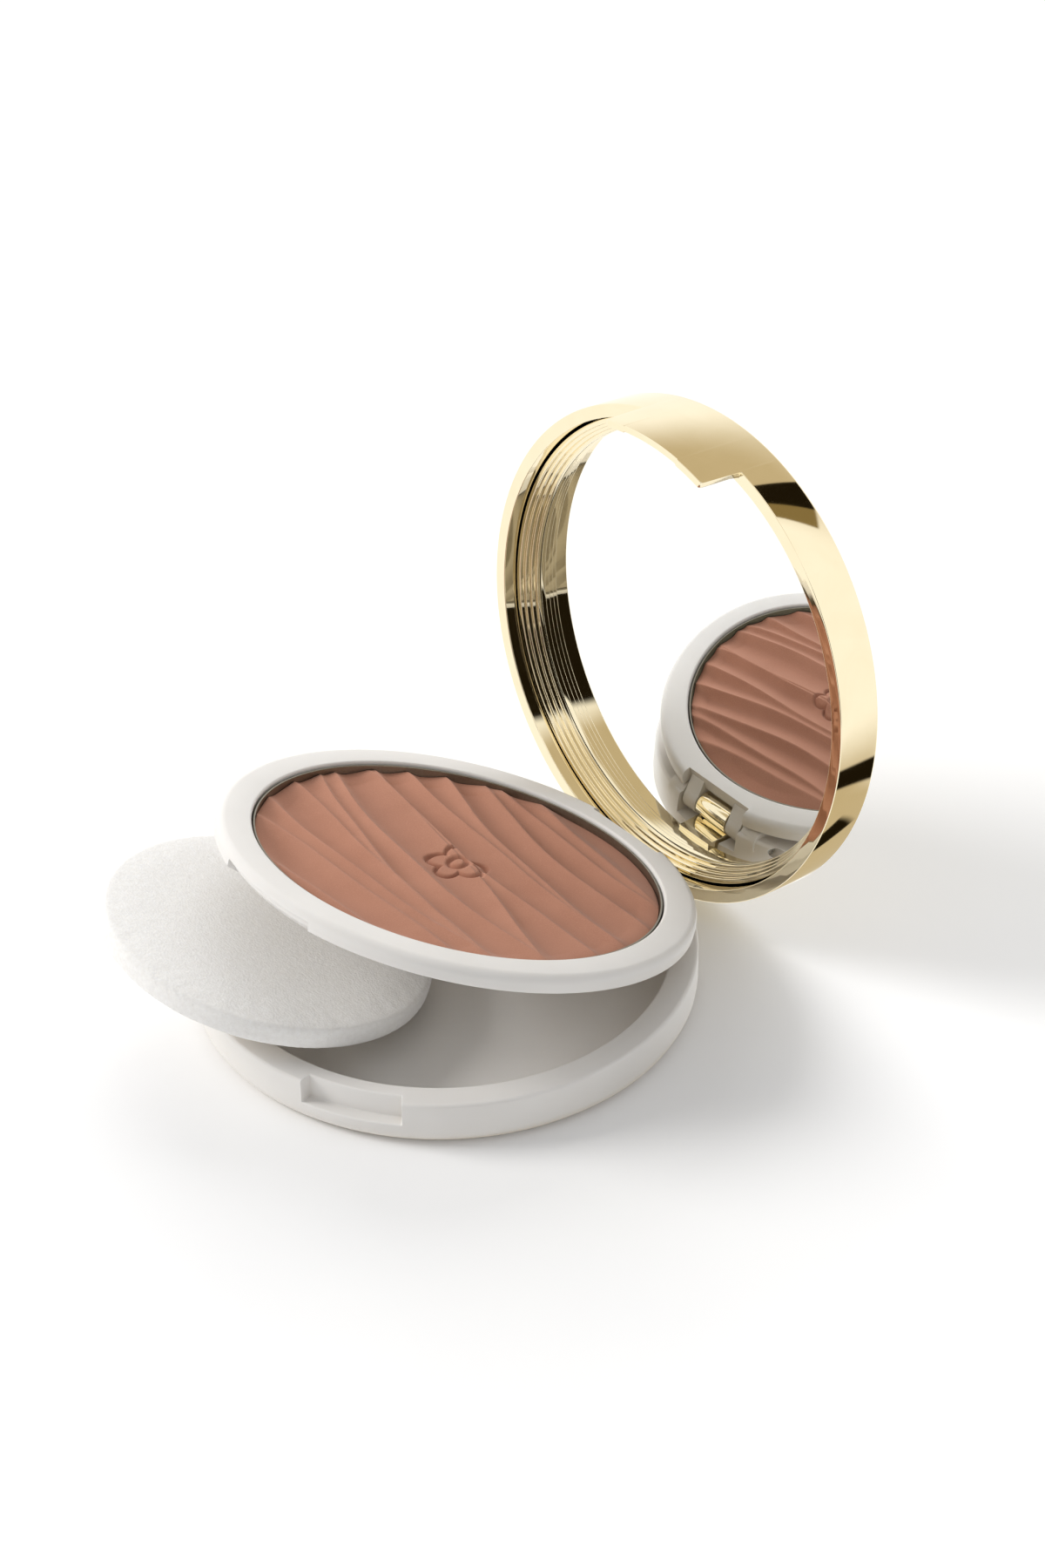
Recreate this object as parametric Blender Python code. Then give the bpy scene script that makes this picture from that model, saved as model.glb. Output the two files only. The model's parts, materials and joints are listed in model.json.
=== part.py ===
"""Three-tier round powder compact: base with a sponge bay, hinged powder tray, hinged mirror lid.

Frame: metres, +Z up, the base stands on Z = 0 with its centre on the Z axis, front towards -Y,
hinge at the back (+Y).  Every piece is first described as if the compact were shut, then its
group is turned about its own axis into the open rest pose.
"""
import math

import bpy
from mathutils import Matrix, Vector

for old in list(bpy.data.objects):
    bpy.data.objects.remove(old, do_unlink=True)

MM = 0.001
SEGMENTS = 72                 # facets round every large circle
PIN_SEGMENTS = 24             # facets round the hinge pin, its bores and the knuckles
EDGE = 0.3                    # small chamfer on moulded edges (mm)
BEYOND = 40.0                 # cutters reach out past every wall (mm)
GAP = 0.02                    # keeps the adhesive clear of the faces it lies between (mm)

# ---- hinge and rest pose (mm, degrees) ----
HINGE_Y, HINGE_Z = 33.6, 6.4
TRAY_OPEN = 17.8              # tray above the base
LID_OPEN = 76.8               # lid above the tray
SPONGE_SWING = 40.85          # sponge out of its bay
SPONGE_AXIS = (-0.4289, 0.0190, -0.9032)
SPONGE_PIVOT = (-41.39, 13.84, 19.94)

# ---- base ----
BASE_R, BASE_RIM_Z = 36.9, 7.4
BASE_CORNER = 2.5             # rounding of the lower outside edge
BAY_R, BAY_FLOOR_Z = 32.9, 1.2
NOTCH_R, NOTCH_Z = 35.1, 3.6  # finger notch floor radius and lower edge
NOTCH_ARC = (-70.5, -47.5)
KNUCKLE_BAY_Y, KNUCKLE_BAY_Z = 31.0, 3.9    # cut-out for the knuckles: its front and its floor
ARM_SLOT_X, ARM_SLOT_Z = 3.85, 1.6          # deeper slot for the lid's arm

# ---- tray ----
TRAY_R, TRAY_Z, TRAY_TOP_Z = 35.4, 8.75, 11.3
SEAT_R, SEAT_Z = 33.2, 7.7    # ring that comes down on the base rim, chamfered up to the edge
PLUG_R, PLUG_Z = 31.9, 7.2    # locating step that drops inside the base rim
WELL_R, WELL_FLOOR_Z = 30.4, 8.0
TRAY_ROUND = 1.3
RECESS_R, RECESS_TOP_Z = 34.3, 9.9
RECESS_ARC = (-106.0, -75.0)
EAR_CUT_X, EAR_CUT_Y, EAR_CUT_Z = 11.2, 30.9, 8.9     # room over the base ears
ARM_CUT_X, ARM_CUT_Y = 7.4, 32.9                      # room for the lid's arm, right through the ring
WEB = [(31.5, 8.0), (34.8, 5.1), (35.5, 7.1), (33.0, 10.3), (31.5, 10.3)]   # knuckle web, (y, z)

# ---- powder ----
PAN_R, PAN_Z, PAN_RIM_Z, PAN_WALL = 30.15, 8.3, 10.85, 0.3
CAKE_R, CAKE_Z, CAKE_TOP_Z = 29.75, 8.68, 10.2
GLUE_R = 12.0

# ---- lid ----
LID_R, LID_BORE_R = 38.0, 36.0
LID_RIM_Z, LID_CEILING_Z, LID_TOP_Z = 10.75, 17.2, 18.1
TONGUE_ARC = (-101.5, -70.0)
TONGUE_R, TONGUE_END_Z = 37.1, 3.7
CATCH_R, CATCH_Z = 35.8, (8.2, 8.9)
CATCH_ARCS = ((-98.5, -92.5), (-79.0, -73.0))
ARM = [(34.0, 5.0), (37.6, 5.0), (37.6, 11.4), (35.3, 11.4), (35.3, 7.6), (34.0, 7.6)]   # (y, z)
BEZEL_R, BEZEL_Z = 35.7, 13.0
BEZEL_LIP_R, BEZEL_STEP_R, BEZEL_STEP_Z = 33.6, 34.9, 14.6
MIRROR_R, MIRROR_Z, MIRROR_T = 34.9, 16.0, 0.9
TAPE_R, TAPE_T = 33.5, 0.2

# ---- hinge knuckles ----
KNUCKLE_R, BORE_R, PIN_R = 2.1, 0.95, 0.9
LID_KNUCKLE = (-3.5, 3.5)
TRAY_KNUCKLE = (3.8, 6.8)
BASE_EAR = (7.1, 10.6)
PIN_X = (-10.6, 13.0)
BORE_OVER = 0.7               # a bore is cut this far past the knuckles it goes through

# ---- sponge ----
SPONGE_R, SPONGE_T, SPONGE_EDGE = 25.0, 3.9, 1.2
SPONGE_STORED = (2.75, 5.65, 3.04)


def material(name, colour, roughness, metallic):
    mat = bpy.data.materials.new(name)
    mat.use_nodes = True
    shader = mat.node_tree.nodes["Principled BSDF"]
    shader.inputs["Base Color"].default_value = (*colour, 1.0)
    shader.inputs["Roughness"].default_value = roughness
    shader.inputs["Metallic"].default_value = metallic
    mat.diffuse_color = (*colour, 1.0)
    return mat


def add_mesh(name, verts, faces, mat=None, smooth=True):
    mesh = bpy.data.meshes.new(name)
    mesh.from_pydata([Vector(v) * MM for v in verts], [], faces)
    mesh.validate()
    obj = bpy.data.objects.new(name, mesh)
    bpy.context.scene.collection.objects.link(obj)
    if mat:
        mesh.materials.append(mat)
    if smooth:
        mesh.shade_smooth()
        mesh.set_sharp_from_angle(angle=math.radians(32))
    return obj


def lathe(name, profile, mat=None, centre=(0.0, 0.0)):
    """Closed body of revolution about Z; the profile runs anticlockwise in (r, z)."""
    cx, cy = centre
    rings, verts = [], []
    for r, z in profile:
        if r == 0:
            rings.append([len(verts)])
            verts.append((cx, cy, z))
            continue
        ring = []
        for i in range(SEGMENTS):
            a = 2 * math.pi * i / SEGMENTS
            ring.append(len(verts))
            verts.append((cx + r * math.cos(a), cy + r * math.sin(a), z))
        rings.append(ring)
    faces = []
    for low, high in zip(rings, rings[1:] + rings[:1]):
        if len(low) == 1 and len(high) == 1:
            continue
        for i in range(SEGMENTS):
            j = (i + 1) % SEGMENTS
            if len(low) == 1:
                faces.append((low[0], high[j], high[i]))
            elif len(high) == 1:
                faces.append((low[i], low[j], high[0]))
            else:
                faces.append((low[i], low[j], high[j], high[i]))
    return add_mesh(name, verts, faces, mat)


def arc_points(cr, cz, radius, start, end, steps):
    """Profile points on a quarter round, angles in degrees."""
    points = []
    for i in range(steps + 1):
        a = math.radians(start + (end - start) * i / steps)
        points.append((cr + radius * math.cos(a), cz + radius * math.sin(a)))
    return points


def arc_block(name, r0, r1, z0, z1, arc, steps=8):
    """Part of a flat ring between two angles."""
    verts = []
    for i in range(steps + 1):
        a = math.radians(arc[0] + (arc[1] - arc[0]) * i / steps)
        c, s = math.cos(a), math.sin(a)
        verts += [(r0 * c, r0 * s, z0), (r1 * c, r1 * s, z0), (r1 * c, r1 * s, z1), (r0 * c, r0 * s, z1)]
    faces = [(0, 1, 2, 3)]
    for i in range(steps):
        k = 4 * i
        for a, b in ((0, 1), (1, 2), (2, 3), (3, 0)):
            faces.append((k + b, k + a, k + a + 4, k + b + 4))
    k = 4 * steps
    faces.append((k + 3, k + 2, k + 1, k))
    return add_mesh(name, verts, faces, smooth=False)


def prism_x(name, outline, x0, x1, mat=None, smooth=False):
    """Outline in (y, z), anticlockwise seen from +X, extruded along X."""
    n = len(outline)
    verts = [(x0, y, z) for y, z in outline] + [(x1, y, z) for y, z in outline]
    faces = [tuple(reversed(range(n))), tuple(range(n, 2 * n))]
    for i in range(n):
        j = (i + 1) % n
        faces.append((i, j, j + n, i + n))
    return add_mesh(name, verts, faces, mat, smooth)


def rod_x(name, radius, x0, x1, mat=None):
    """Round bar on the hinge axis."""
    outline = []
    for i in range(PIN_SEGMENTS):
        a = 2 * math.pi * i / PIN_SEGMENTS
        outline.append((HINGE_Y + radius * math.cos(a), HINGE_Z + radius * math.sin(a)))
    return prism_x(name, outline, x0, x1, mat, smooth=True)


def block(name, xs, ys, zs):
    outline = [(ys[0], zs[0]), (ys[1], zs[0]), (ys[1], zs[1]), (ys[0], zs[1])]
    return prism_x(name, outline, xs[0], xs[1])


def combine(target, tool, operation):
    """Boolean kept as a modifier, its tool hidden from the picture."""
    tool.display_type = 'WIRE'
    tool.hide_render = True
    step = target.modifiers.new(tool.name, 'BOOLEAN')
    step.operation = operation
    step.solver = 'EXACT'
    step.object = tool
    tools.append(tool)


def pivot(name, point, turn, parent=None):
    """Empty on a joint axis that carries a moving group."""
    empty = bpy.data.objects.new(name, None)
    empty.empty_display_size = 5 * MM
    bpy.context.scene.collection.objects.link(empty)
    empty.parent = parent
    empty.matrix_basis = Matrix.Translation(Vector(point) * MM) @ turn
    return empty


def carry(objects, empty, origin):
    """Shift shut-pose meshes so the empty's axis is their origin, then hang them on it."""
    for obj in objects:
        obj.data.transform(Matrix.Translation(Vector(origin) * -MM))
        obj.parent = empty


WHITE = material("white_moulded_plastic", (0.80, 0.78, 0.75), 0.30, 0.0)
GOLD = material("champagne_plated_plastic", (0.86, 0.72, 0.47), 0.08, 1.0)
SILVER = material("silvered_glass", (0.92, 0.93, 0.93), 0.02, 1.0)
TIN = material("pressed_tin", (0.42, 0.40, 0.36), 0.35, 1.0)
STEEL = material("bright_steel", (0.60, 0.60, 0.60), 0.25, 1.0)
POWDER = material("pressed_powder", (0.47, 0.24, 0.17), 0.85, 0.0)
FOAM = material("latex_foam", (0.83, 0.81, 0.78), 0.90, 0.0)
GLUE = material("hot_melt", (0.75, 0.70, 0.55), 0.50, 0.0)
TAPE = material("foam_tape", (0.55, 0.55, 0.53), 0.80, 0.0)

# ---------------------------------------------------------------- base
tools = []
base_shell = lathe(
    "base_shell",
    [(0, 0)]
    + arc_points(BASE_R - BASE_CORNER, BASE_CORNER, BASE_CORNER, -90, 0, 5)
    + [(BASE_R, BASE_RIM_Z - EDGE), (BASE_R - EDGE, BASE_RIM_Z)]
    + [(BAY_R + EDGE, BASE_RIM_Z), (BAY_R, BASE_RIM_Z - EDGE)]
    + [(BAY_R, BAY_FLOOR_Z + 2 * EDGE), (BAY_R - 2 * EDGE, BAY_FLOOR_Z), (0, BAY_FLOOR_Z)],
    WHITE,
)
combine(base_shell, arc_block("notch_cut", NOTCH_R, BEYOND, NOTCH_Z, TRAY_Z, NOTCH_ARC), 'DIFFERENCE')
bay_y = (KNUCKLE_BAY_Y, BEYOND)
knuckle_bay = block("knuckle_bay", (-BASE_EAR[0], BASE_EAR[0]), bay_y, (KNUCKLE_BAY_Z, TRAY_Z))
combine(base_shell, knuckle_bay, 'DIFFERENCE')
arm_slot = block("arm_slot", (-ARM_SLOT_X, ARM_SLOT_X), bay_y, (ARM_SLOT_Z, KNUCKLE_BAY_Z + 2 * EDGE))
combine(base_shell, arm_slot, 'DIFFERENCE')
for side in (-1, 1):
    ear = sorted((side * BASE_EAR[0], side * BASE_EAR[1]))
    combine(base_shell, rod_x(f"base_ear_{side}", KNUCKLE_R, *ear), 'UNION')
combine(base_shell, rod_x("base_bore", BORE_R, PIN_X[0] - EDGE, PIN_X[1] + EDGE), 'DIFFERENCE')

hinge_pin = rod_x("hinge_pin", PIN_R, *PIN_X, STEEL)

# ---------------------------------------------------------------- tray
tools = []
tray_frame = lathe(
    "tray_frame",
    [(0, PLUG_Z), (PLUG_R - EDGE, PLUG_Z), (PLUG_R, PLUG_Z + EDGE), (PLUG_R, SEAT_Z), (SEAT_R, SEAT_Z)]
    + [(TRAY_R - 0.2, TRAY_Z), (TRAY_R, TRAY_Z + 0.2)]
    + arc_points(TRAY_R - TRAY_ROUND, TRAY_TOP_Z - TRAY_ROUND, TRAY_ROUND, 0, 90, 4)
    + [(WELL_R + 0.45, TRAY_TOP_Z), (WELL_R + 0.12, TRAY_TOP_Z - 0.12), (WELL_R, TRAY_TOP_Z - 0.45)]
    + [(WELL_R, WELL_FLOOR_Z), (0, WELL_FLOOR_Z)],
    WHITE,
)
recess_cut = arc_block("recess_cut", RECESS_R, BEYOND, PLUG_Z, RECESS_TOP_Z, RECESS_ARC)
combine(tray_frame, recess_cut, 'DIFFERENCE')
ear_cut = block("ear_cut", (-EAR_CUT_X, EAR_CUT_X), (EAR_CUT_Y, BEYOND), (HINGE_Z, EAR_CUT_Z))
combine(tray_frame, ear_cut, 'DIFFERENCE')
arm_cut = block("arm_cut", (-ARM_CUT_X, ARM_CUT_X), (ARM_CUT_Y, BEYOND), (HINGE_Z, TRAY_TOP_Z + EDGE))
combine(tray_frame, arm_cut, 'DIFFERENCE')
for side in (-1, 1):
    span = sorted((side * TRAY_KNUCKLE[0], side * TRAY_KNUCKLE[1]))
    combine(tray_frame, prism_x(f"tray_web_{side}", WEB, *span), 'UNION')
    combine(tray_frame, rod_x(f"tray_knuckle_{side}", KNUCKLE_R, *span), 'UNION')
tray_bore_x = TRAY_KNUCKLE[1] + BORE_OVER
combine(tray_frame, rod_x("tray_bore", BORE_R, -tray_bore_x, tray_bore_x), 'DIFFERENCE')

powder_pan = lathe(
    "powder_pan",
    [(0, PAN_Z), (PAN_R - EDGE, PAN_Z), (PAN_R, PAN_Z + EDGE), (PAN_R, PAN_RIM_Z)]
    + [(PAN_R - PAN_WALL, PAN_RIM_Z), (PAN_R - PAN_WALL, PAN_Z + PAN_WALL), (0, PAN_Z + PAN_WALL)],
    TIN,
)
powder_cake = lathe(
    "powder_cake",
    [(0, CAKE_Z), (CAKE_R, CAKE_Z), (CAKE_R, CAKE_TOP_Z - EDGE), (CAKE_R - EDGE, CAKE_TOP_Z)]
    + [(0, CAKE_TOP_Z)],
    POWDER,
)
glue_low, glue_top = WELL_FLOOR_Z + GAP, PAN_Z - GAP
pan_adhesive = lathe(
    "pan_adhesive",
    [(0, glue_low), (GLUE_R, glue_low), (GLUE_R, glue_top), (0, glue_top)],
    GLUE,
)
tray_pieces = [tray_frame, powder_pan, powder_cake, pan_adhesive] + tools

# ---------------------------------------------------------------- lid
tools = []
lid_shell = lathe(
    "lid_shell",
    [(0, LID_CEILING_Z), (LID_BORE_R, LID_CEILING_Z), (LID_BORE_R, LID_RIM_Z + 0.2)]
    + [(LID_BORE_R + 0.2, LID_RIM_Z), (LID_R - 0.25, LID_RIM_Z), (LID_R, LID_RIM_Z + 0.25)]
    + arc_points(LID_R - 0.7, LID_TOP_Z - 0.7, 0.7, 0, 90, 3)
    + [(0, LID_TOP_Z)],
    GOLD,
)
tongue = arc_block("tongue", TONGUE_R, LID_R - GAP, TONGUE_END_Z, LID_RIM_Z + EDGE, TONGUE_ARC)
combine(lid_shell, tongue, 'UNION')
for i, arc in enumerate(CATCH_ARCS):
    combine(lid_shell, arc_block(f"catch_{i}", CATCH_R, TONGUE_R + EDGE, *CATCH_Z, arc, 3), 'UNION')
combine(lid_shell, prism_x("lid_arm", ARM, *LID_KNUCKLE), 'UNION')
combine(lid_shell, rod_x("lid_knuckle", KNUCKLE_R, *LID_KNUCKLE), 'UNION')
lid_bore_x = LID_KNUCKLE[1] + BORE_OVER
combine(lid_shell, rod_x("lid_bore", BORE_R, -lid_bore_x, lid_bore_x), 'DIFFERENCE')

bezel_bore, bezel_top, lip_top = MIRROR_R + EDGE, LID_CEILING_Z - 3 * GAP, MIRROR_Z - 3 * GAP
mirror_bezel = lathe(
    "mirror_bezel",
    [(bezel_bore, bezel_top), (bezel_bore, lip_top), (BEZEL_LIP_R, lip_top), (BEZEL_LIP_R, BEZEL_STEP_Z)]
    + [(BEZEL_STEP_R, BEZEL_STEP_Z), (BEZEL_STEP_R, BEZEL_Z), (BEZEL_R, BEZEL_Z), (BEZEL_R, bezel_top)],
    GOLD,
)
mirror_glass = lathe(
    "mirror_glass",
    [(0, MIRROR_Z), (MIRROR_R, MIRROR_Z), (MIRROR_R, MIRROR_Z + MIRROR_T), (0, MIRROR_Z + MIRROR_T)],
    SILVER,
)
tape_z = MIRROR_Z + MIRROR_T + GAP
mirror_tape = lathe(
    "mirror_tape",
    [(0, tape_z), (TAPE_R, tape_z), (TAPE_R, tape_z + TAPE_T), (0, tape_z + TAPE_T)],
    TAPE,
)
lid_pieces = [lid_shell, mirror_bezel, mirror_glass, mirror_tape] + tools

# ---------------------------------------------------------------- sponge
sx, sy, sz = SPONGE_STORED
sponge = lathe(
    "sponge",
    [(0, sz)]
    + arc_points(SPONGE_R - SPONGE_EDGE, sz + SPONGE_EDGE, SPONGE_EDGE, -90, 0, 4)
    + arc_points(SPONGE_R - SPONGE_EDGE, sz + SPONGE_T - SPONGE_EDGE, SPONGE_EDGE, 0, 90, 4)
    + [(0, sz + SPONGE_T)],
    FOAM,
    centre=(sx, sy),
)

# ---------------------------------------------------------------- rest pose
hinge_point = Vector((0, HINGE_Y, HINGE_Z))
tray_axis = pivot("tray_hinge_axis", hinge_point, Matrix.Rotation(-math.radians(TRAY_OPEN), 4, 'X'))
lid_axis = pivot("lid_hinge_axis", (0, 0, 0), Matrix.Rotation(-math.radians(LID_OPEN), 4, 'X'), tray_axis)
swing = Matrix.Rotation(math.radians(SPONGE_SWING), 4, Vector(SPONGE_AXIS))
sponge_axis = pivot("sponge_swing_axis", SPONGE_PIVOT, swing)
carry(tray_pieces, tray_axis, hinge_point)
carry(lid_pieces, lid_axis, hinge_point)
carry([sponge], sponge_axis, SPONGE_PIVOT)
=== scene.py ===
"""Looks of the round powder compact: smooth shells, stepped gold lid, embossed powder, soft sponge.

Every piece is shaped in millimetres as if the compact were shut, then turned about the hinge into the
rest pose that the frame's joints give.  The base stands on Z = 0, front towards -Y, hinge at +Y.
"""
import json
import math

import bmesh
import bpy
import numpy as np
from mathutils import Matrix, Vector


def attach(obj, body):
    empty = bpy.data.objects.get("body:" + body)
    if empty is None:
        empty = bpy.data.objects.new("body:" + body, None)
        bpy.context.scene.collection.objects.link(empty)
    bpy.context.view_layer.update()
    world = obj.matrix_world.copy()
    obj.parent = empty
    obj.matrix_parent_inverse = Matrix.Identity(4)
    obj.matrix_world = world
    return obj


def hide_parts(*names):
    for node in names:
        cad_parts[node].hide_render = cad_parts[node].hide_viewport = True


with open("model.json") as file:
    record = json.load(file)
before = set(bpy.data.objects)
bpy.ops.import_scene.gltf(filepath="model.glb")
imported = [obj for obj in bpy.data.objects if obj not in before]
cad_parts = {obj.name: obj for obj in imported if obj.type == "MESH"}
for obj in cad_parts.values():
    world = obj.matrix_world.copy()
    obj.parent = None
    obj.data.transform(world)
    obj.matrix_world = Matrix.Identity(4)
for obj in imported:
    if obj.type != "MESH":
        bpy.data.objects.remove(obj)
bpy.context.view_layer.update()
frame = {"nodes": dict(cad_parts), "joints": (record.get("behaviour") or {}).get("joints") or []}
MM = 0.001
JOINTS = {joint["name"]: joint for joint in frame["joints"]}
HINGE = Vector(JOINTS["tray_hinge"]["pos_m"])
TRAY_OPEN = -JOINTS["tray_hinge"]["range_deg"][0]
LID_OPEN = TRAY_OPEN - JOINTS["lid_hinge"]["range_deg"][0]


def hinge_turn(degrees):
    """Rotation about the hinge line that lifts the front edge."""
    turn = Matrix.Rotation(-math.radians(degrees), 4, 'X')
    return Matrix.Translation(HINGE) @ turn @ Matrix.Translation(-HINGE)


REST = {"base": Matrix.Identity(4), "tray": hinge_turn(TRAY_OPEN), "lid": hinge_turn(LID_OPEN)}


def shut_size(node, body):
    """Outer radius, lowest and highest Z (mm) of a CAD node with the compact shut."""
    back = REST[body].inverted()
    points = np.array([back @ v.co for v in frame["nodes"][node].data.vertices]) / MM
    return np.hypot(points[:, 0], points[:, 1]).max(), points[:, 2].min(), points[:, 2].max()


HINGE_Y, HINGE_Z = HINGE.y / MM, HINGE.z / MM
BASE_R, BASE_RIM_Z = 36.9, 7.4
BAY_R, BAY_FLOOR_Z = BASE_R - 4.0, 1.2
BASE_CORNER = 2.5
NOTCH_DEPTH, NOTCH_Z, NOTCH_ARC = 1.8, 3.6, (-70.5, -47.5)

TRAY_R, TRAY_EDGE_Z, TRAY_TOP_Z = 35.4, 8.75, 11.3
SEAT_R, SEAT_Z = 33.2, 7.7
PLUG_R, PLUG_Z = 31.9, 7.2
WELL_R, WELL_FLOOR_Z = 30.4, 8.0
RECESS_DEPTH, RECESS_TOP_Z, RECESS_ARC = 1.1, 9.9, (-106.0, -75.0)

PAN_R, PAN_Z, PAN_RIM_Z = shut_size("powder_pan", "tray")
PAN_WALL = 0.3
CAKE_R, CAKE_Z, CAKE_TOP_Z = shut_size("powder_cake", "tray")

LID_R, LID_BORE_R = 38.0, 36.0
LID_RIM_Z, LID_CEILING_Z, LID_TOP_Z = 10.75, 17.2, 18.1
TONGUE_ARC, TONGUE_WALL, TONGUE_END_Z = (-101.5, -70.0), 0.95, 3.7
MIRROR_R, MIRROR_Z, MIRROR_BACK_Z = shut_size("mirror_glass", "lid")
BEZEL_R, BEZEL_Z, _ = shut_size("mirror_bezel", "lid")
LIP_R, LIP_Z, LEDGE_R, BEZEL_STEPS = 33.6, 15.3, 34.95, 3
MIRROR_YAW = -1.27            # degrees; the glass sits a little askew in its bezel

# Hinge: spans along X, and the room cut for it in base and tray out past their walls.
KNUCKLE_R, PIN_R = 2.1, 0.9
BORE_R = PIN_R + 0.05
LID_KNUCKLE, TRAY_KNUCKLE, BASE_EAR = (-3.5, 3.5), (3.8, 6.8), (7.1, 10.6)
PIN_X, BASE_BORE_X, TRAY_BORE_X, LID_BORE_X = (-10.6, 13.0), (-10.9, 18), (-7.6, 7.6), (-4.2, 4.2)
PAST_WALL_Y = 40
BASE_CUT_Y, KNUCKLE_BAY_Z = 31, (3.9, 9)
ARM_SLOT_HALF, ARM_SLOT_Z = 3.85, (1.6, 4.5)
HINGE_CUT_HALF, HINGE_CUT_Y, HINGE_CUT_Z = 11.2, 30.9, (6, 8.9)
ARM_CUT_HALF, ARM_CUT_Y, ARM_CUT_Z = 7.4, 32.9, (6, 12)
TRAY_WEB = ((31.5, 8.0), (34.8, 5.1), (35.5, 7.1), (33.0, 10.3), (31.5, 10.3))
LID_ARM = ((34.0, 5.0), (37.6, 5.0), (37.6, 11.4), (35.3, 11.4), (35.3, 7.6), (34.0, 7.6))


# ------------------------------------------------------------------ shader helpers
class Shader:
    """A Principled material, and short calls for the nodes that feed it."""

    def __init__(self, name):
        self.mat = bpy.data.materials.new(name)
        self.mat.use_nodes = True
        self.nodes = self.mat.node_tree.nodes
        self.links = self.mat.node_tree.links
        self.bsdf = self.nodes["Principled BSDF"]
        self.coords = self.nodes.new("ShaderNodeTexCoord").outputs["Object"]

    def put(self, socket, value):
        if isinstance(value, bpy.types.NodeSocket):
            self.links.new(value, socket)
        elif isinstance(value, tuple) and len(value) == 3 and socket.type == 'RGBA':
            socket.default_value = (*value, 1.0)
        else:
            socket.default_value = value

    def set(self, **values):
        for name, value in values.items():
            self.put(self.bsdf.inputs[name.replace("_", " ")], value)
        return self

    def noise(self, size_mm, detail=3.0, stretch=(1, 1, 1), distortion=0.0):
        """Noise whose blobs are about size_mm across."""
        mapping = self.nodes.new("ShaderNodeMapping")
        mapping.inputs["Scale"].default_value = stretch
        self.links.new(self.coords, mapping.inputs["Vector"])
        node = self.nodes.new("ShaderNodeTexNoise")
        self.links.new(mapping.outputs["Vector"], node.inputs["Vector"])
        node.inputs["Scale"].default_value = 1.0 / (size_mm * MM)
        node.inputs["Detail"].default_value = detail
        node.inputs["Distortion"].default_value = distortion
        return node.outputs["Fac"]

    def cells(self, size_mm, randomness=1.0):
        """Distance to the nearest of scattered points, for pores."""
        node = self.nodes.new("ShaderNodeTexVoronoi")
        self.links.new(self.coords, node.inputs["Vector"])
        node.inputs["Scale"].default_value = 1.0 / (size_mm * MM)
        node.inputs["Randomness"].default_value = randomness
        return node.outputs["Distance"]

    def spread(self, source, low, high, start=0.3, stop=0.7):
        """Maps a 0-1 source to low-high."""
        node = self.nodes.new("ShaderNodeMapRange")
        self.put(node.inputs["Value"], source)
        node.inputs["From Min"].default_value = start
        node.inputs["From Max"].default_value = stop
        node.inputs["To Min"].default_value = low
        node.inputs["To Max"].default_value = high
        return node.outputs["Result"]

    def blend(self, factor, first, second, mode='MIX'):
        node = self.nodes.new("ShaderNodeMix")
        node.data_type = 'RGBA'
        node.blend_type = mode
        self.put(node.inputs[0], factor)
        self.put(node.inputs[6], first)
        self.put(node.inputs[7], second)
        return node.outputs[2]

    def bump(self, height, depth_mm, strength=1.0, below=None):
        node = self.nodes.new("ShaderNodeBump")
        node.inputs["Strength"].default_value = strength
        node.inputs["Distance"].default_value = depth_mm * MM
        self.put(node.inputs["Height"], height)
        if below is not None:
            self.links.new(below, node.inputs["Normal"])
        return node.outputs["Normal"]

    def attribute(self, name):
        node = self.nodes.new("ShaderNodeAttribute")
        node.attribute_name = name
        return node.outputs["Fac"]

    def second_reflection(self):
        """1 where the surface is seen by way of two or more mirror-bright walls."""
        node = self.nodes.new("ShaderNodeLightPath")
        compare = self.nodes.new("ShaderNodeMath")
        compare.operation = 'GREATER_THAN'
        self.links.new(node.outputs["Glossy Depth"], compare.inputs[0])
        compare.inputs[1].default_value = 1.5
        return compare.outputs[0]

    def open_sky(self, reach_mm):
        """1 in the open, falling to 0 deep inside a hollow."""
        node = self.nodes.new("ShaderNodeAmbientOcclusion")
        node.samples = 6
        node.inputs["Distance"].default_value = reach_mm * MM
        return node.outputs["AO"]

    def edge_highlight_mask(self, radius_mm):
        """1 on convex edges, 0 on flats, from a bevelled normal; it masks painted edge highlights."""
        bevel = self.nodes.new("ShaderNodeBevel")
        bevel.samples = 4
        bevel.inputs["Radius"].default_value = radius_mm * MM
        geometry = self.nodes.new("ShaderNodeNewGeometry")
        dot = self.nodes.new("ShaderNodeVectorMath")
        dot.operation = 'DOT_PRODUCT'
        self.links.new(bevel.outputs["Normal"], dot.inputs[0])
        self.links.new(geometry.outputs["Normal"], dot.inputs[1])
        return self.spread(dot.outputs["Value"], 1.0, 0.0, 0.80, 0.99)


def white_plastic():
    s = Shader("white_moulded_plastic")
    cloud = s.noise(9.0, 2.0)
    grain = s.noise(0.10, 2.0)
    orange_peel = s.noise(1.3, 2.0)
    colour = s.blend(s.spread(cloud, 0.0, 1.0), (0.735, 0.715, 0.690), (0.760, 0.742, 0.718))
    # painted highlight: the plastic is lighter along convex edges
    colour = s.blend(s.edge_highlight_mask(0.35), colour, (0.800, 0.788, 0.770))
    # painted shade: the plastic turns darker and warmer deep inside hollows, where little light reaches
    colour = s.blend(s.spread(s.open_sky(22.0), 0.60, 0.0, 0.05, 0.50), colour, (0.66, 0.580, 0.480))
    s.set(Base_Color=colour, Roughness=s.spread(grain, 0.30, 0.42), IOR=1.46)
    s.set(Normal=s.bump(grain, 0.004, 1.0, s.bump(orange_peel, 0.012, 0.6)))
    s.bsdf.inputs["Subsurface Weight"].default_value = 0.08
    s.bsdf.inputs["Subsurface Radius"].default_value = (0.0012, 0.0010, 0.0008)
    return s.mat


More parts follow.
